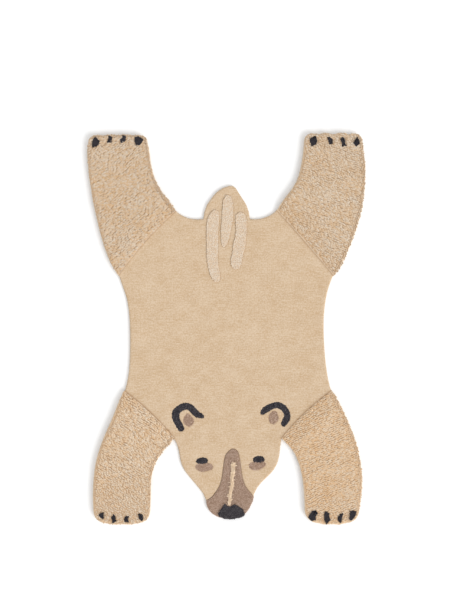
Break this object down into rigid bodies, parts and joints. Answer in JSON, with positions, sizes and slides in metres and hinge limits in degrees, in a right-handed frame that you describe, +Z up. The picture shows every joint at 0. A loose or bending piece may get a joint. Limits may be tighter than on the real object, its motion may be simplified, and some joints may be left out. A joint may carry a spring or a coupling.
{
  "type": "animal shaped kids rug",
  "caption": "Flat tufted wool rug in the shape of a bear skin, with short pile on torso and head, shaggy legs, raised tail stripes, and a face and claws of darker yarn.",
  "frame": {"origin": "middle of the rug's outline, on the floor it lies on", "axes": "+X across the rug, +Y along it from the head to the tail, +Z up from the floor"},
  "size_m": [1.1369, 1.6011, 0.0246],
  "materials": {
    "field_wool": "short dense cut wool pile, matt, warm beige",
    "shag_wool": "high cut wool shag, matt, warm beige, lumpy",
    "cream_wool": "raised cut wool pile, matt, pale cream",
    "brown_wool": "heathered cut wool pile, matt, grey brown",
    "dark_wool": "cut wool pile, matt, charcoal"
  },
  "bodies": {
    "root": {"ground": "field_wool", "leg_rear_left": "shag_wool", "leg_rear_right": "shag_wool", "leg_front_left": "shag_wool", "leg_front_right": "shag_wool", "muzzle": "brown_wool", "blaze": "cream_wool", "nose": "dark_wool", "ear_left": "dark_wool", "ear_right": "dark_wool", "ear_inside_left": "brown_wool", "ear_inside_right": "brown_wool", "eye_left": "dark_wool", "eye_right": "dark_wool", "eye_patch_left": "brown_wool", "eye_patch_right": "brown_wool", "stripe_left": "cream_wool", "stripe_middle": "cream_wool", "stripe_right": "cream_wool", "claw_rear_left_1": "dark_wool", "claw_rear_left_2": "dark_wool", "claw_rear_left_3": "dark_wool", "claw_rear_left_4": "dark_wool", "claw_rear_right_1": "dark_wool", "claw_rear_right_2": "dark_wool", "claw_rear_right_3": "dark_wool", "claw_rear_right_4": "dark_wool", "claw_front_left_1": "dark_wool", "claw_front_left_2": "dark_wool", "claw_front_left_3": "dark_wool", "claw_front_left_4": "dark_wool", "claw_front_right_1": "dark_wool", "claw_front_right_2": "dark_wool", "claw_front_right_3": "dark_wool", "claw_front_right_4": "dark_wool"}
  },
  "joints": []
}
